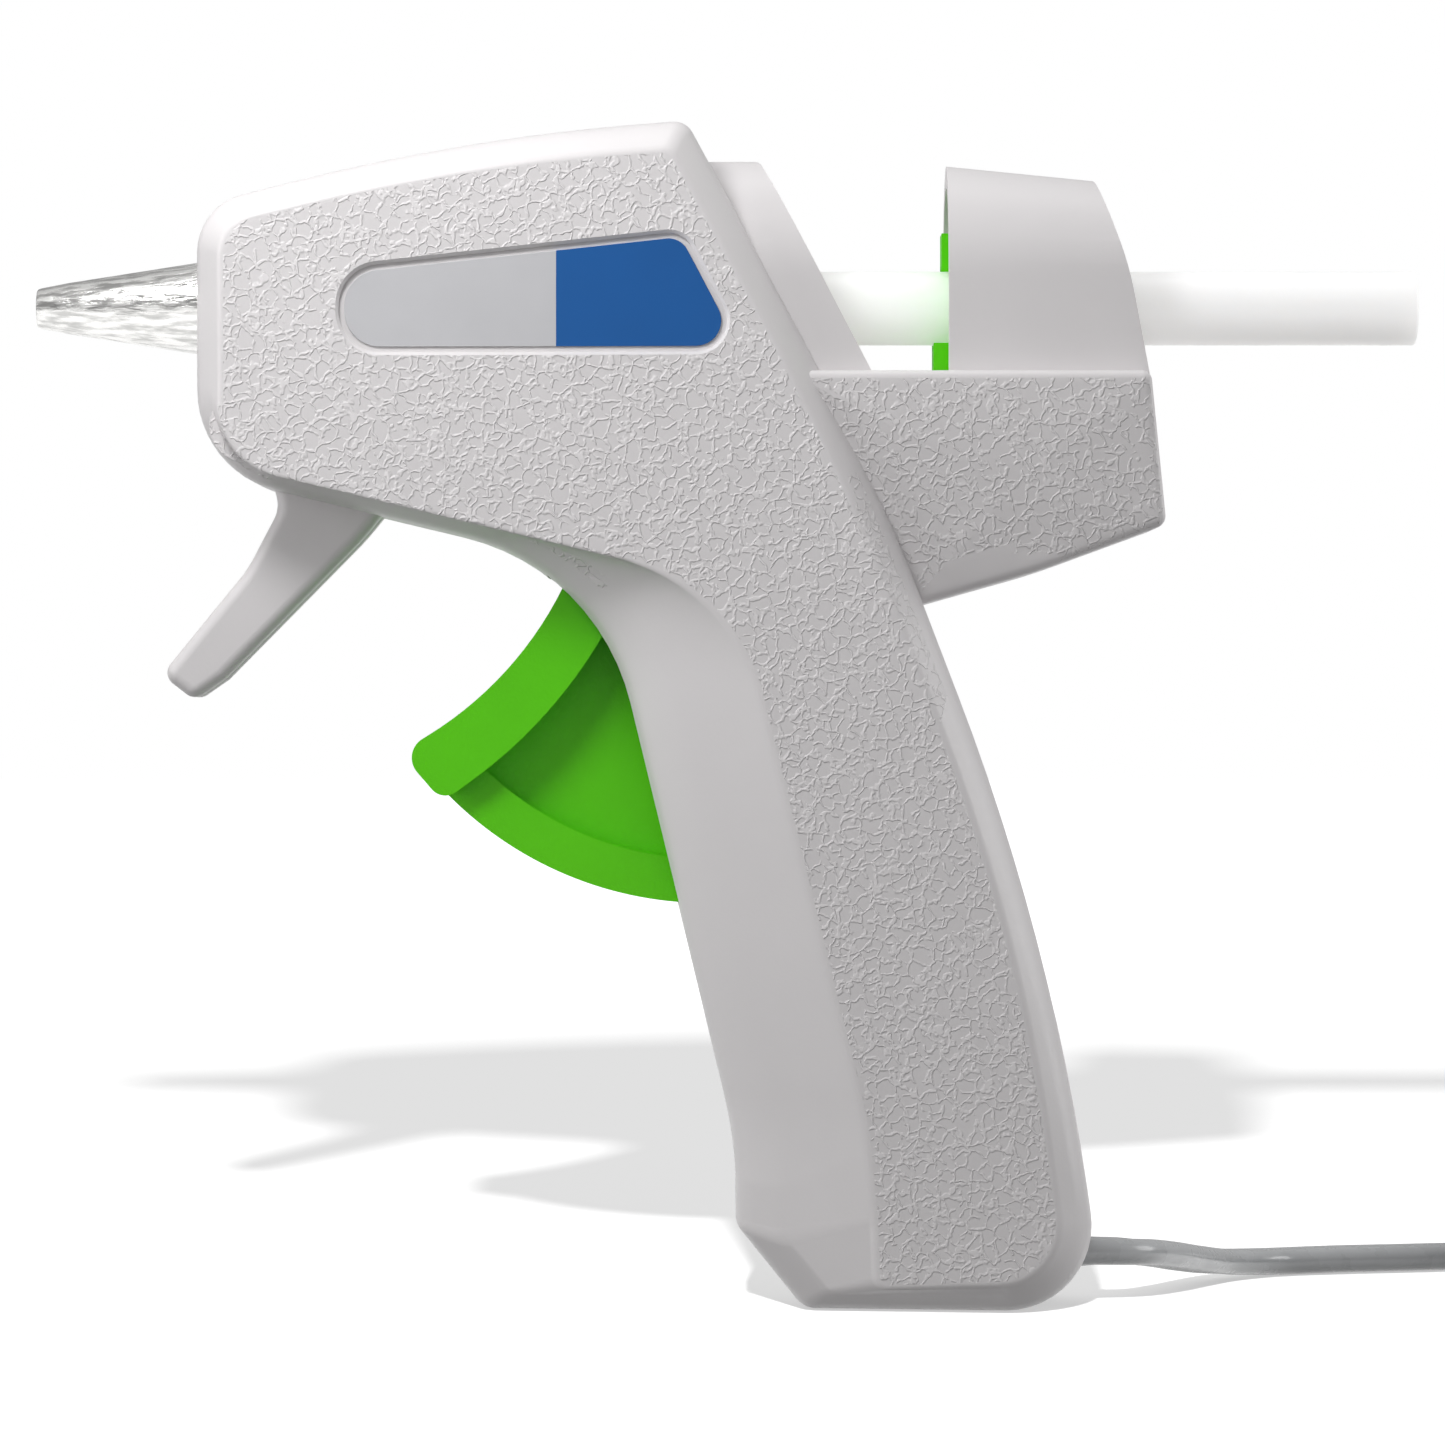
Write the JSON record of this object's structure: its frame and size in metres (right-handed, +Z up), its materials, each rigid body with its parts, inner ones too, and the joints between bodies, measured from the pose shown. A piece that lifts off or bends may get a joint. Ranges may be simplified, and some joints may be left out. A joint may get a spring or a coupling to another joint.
{
  "type": "glue gun",
  "caption": "Small corded hot-glue gun with a pistol grip, curved finger trigger, cone nozzle, moulded stand leg, open-backed feed block and a glue stick in place.",
  "frame": {"origin": "centre of the gun's box, without its cord, on the plane that the handle stands on", "axes": "+X from the nozzle to the rear end of the glue stick, +Z up, Y=0 on the parting plane of the two shells"},
  "size_m": [0.2151, 0.0912, 0.1151],
  "materials": {
    "white_plastic": "satin, moulded leather grain on the flat sides",
    "green_plastic": "fine satin",
    "steel": "satin",
    "brass": "satin",
    "label_print": "printed sticker, grey and blue",
    "nickel": "bright nickel plate",
    "aluminium": "cast",
    "silicone": "matt silicone",
    "film": "thin insulating film",
    "heater_ceramic": "unglazed",
    "glue": "milky translucent hot-melt glue",
    "lead_black": "insulated lead",
    "lead_red": "insulated lead",
    "cord_grey": "clear grey vinyl",
    "tie_paper": "paper band"
  },
  "bodies": {
    "housing": {"left_shell": "white_plastic", "right_shell": "white_plastic", "left_label": "label_print", "right_label": "label_print", "nozzle": "nickel", "melt_chamber": "aluminium", "inlet_sleeve": "silicone", "sleeve_clip": "steel", "film_upper": "film", "electrode_upper": "brass", "ptc_heater": "heater_ceramic", "electrode_lower": "brass", "film_lower": "film", "heater_clip": "steel", "return_spring": "steel", "shell_screw_1": "steel", "shell_screw_2": "steel", "shell_screw_3": "steel", "shell_screw_4": "steel", "shell_screw_5": "steel", "lead_live": "lead_black", "lead_neutral": "lead_red", "crimp_live": "brass", "crimp_neutral": "brass", "cord_clamp": "white_plastic", "clamp_screw_1": "steel", "clamp_screw_2": "steel", "power_cord": "cord_grey", "cord_coil": "cord_grey", "cord_tie": "tie_paper", "cord_tail": "cord_grey", "plug_body": "cord_grey", "plug_blade_left": "brass", "plug_blade_right": "brass"},
    "trigger": {"trigger": "green_plastic", "link_pin": "steel"},
    "feed_links": {"feed_link_left": "green_plastic", "feed_link_right": "green_plastic"},
    "feed_carriage": {"feed_carriage": "green_plastic", "jaw_pin": "steel"},
    "grip_jaw": {"grip_jaw": "steel", "rear_link_pin": "steel"},
    "glue_stick": {"glue_stick": "glue"}
  },
  "joints": [
    {"name": "trigger_squeeze", "type": "hinge", "parent": "housing", "child": "trigger", "pos_m": [-0.0019, 0, 0.0748], "axis": [0, -1, 0], "range_deg": [0, 22], "stiffness_Nm_per_rad": 0.08, "springref_deg": -11.46, "deforming": ["return_spring"]},
    {"name": "link_swing", "type": "hinge", "parent": "trigger", "child": "feed_links", "pos_m": [0.00039, 0, 0.08658], "axis": [0, -1, 0], "range_deg": [-22.5, 0]},
    {"name": "carriage_slide", "type": "slide", "parent": "housing", "child": "feed_carriage", "axis": [-1, 0, 0], "range_m": [0, 0.0046]},
    {"name": "jaw_swing", "type": "hinge", "parent": "feed_carriage", "child": "grip_jaw", "pos_m": [0.03079, 0, 0.09058], "axis": [0, 1, 0], "range_deg": [0, 8.2]},
    {"name": "stick_slide", "type": "slide", "parent": "housing", "child": "glue_stick", "axis": [1, 0, 0], "range_m": [-0.008, 0.06]}
  ],
  "couplings": [
    {"joint": "link_swing", "follows": "trigger_squeeze", "ratio": -1},
    {"joint": "carriage_slide", "follows": "trigger_squeeze", "m_per_rad": 0.010477},
    {"joint": "jaw_swing", "follows": "trigger_squeeze", "ratio": 0.36364}
  ]
}
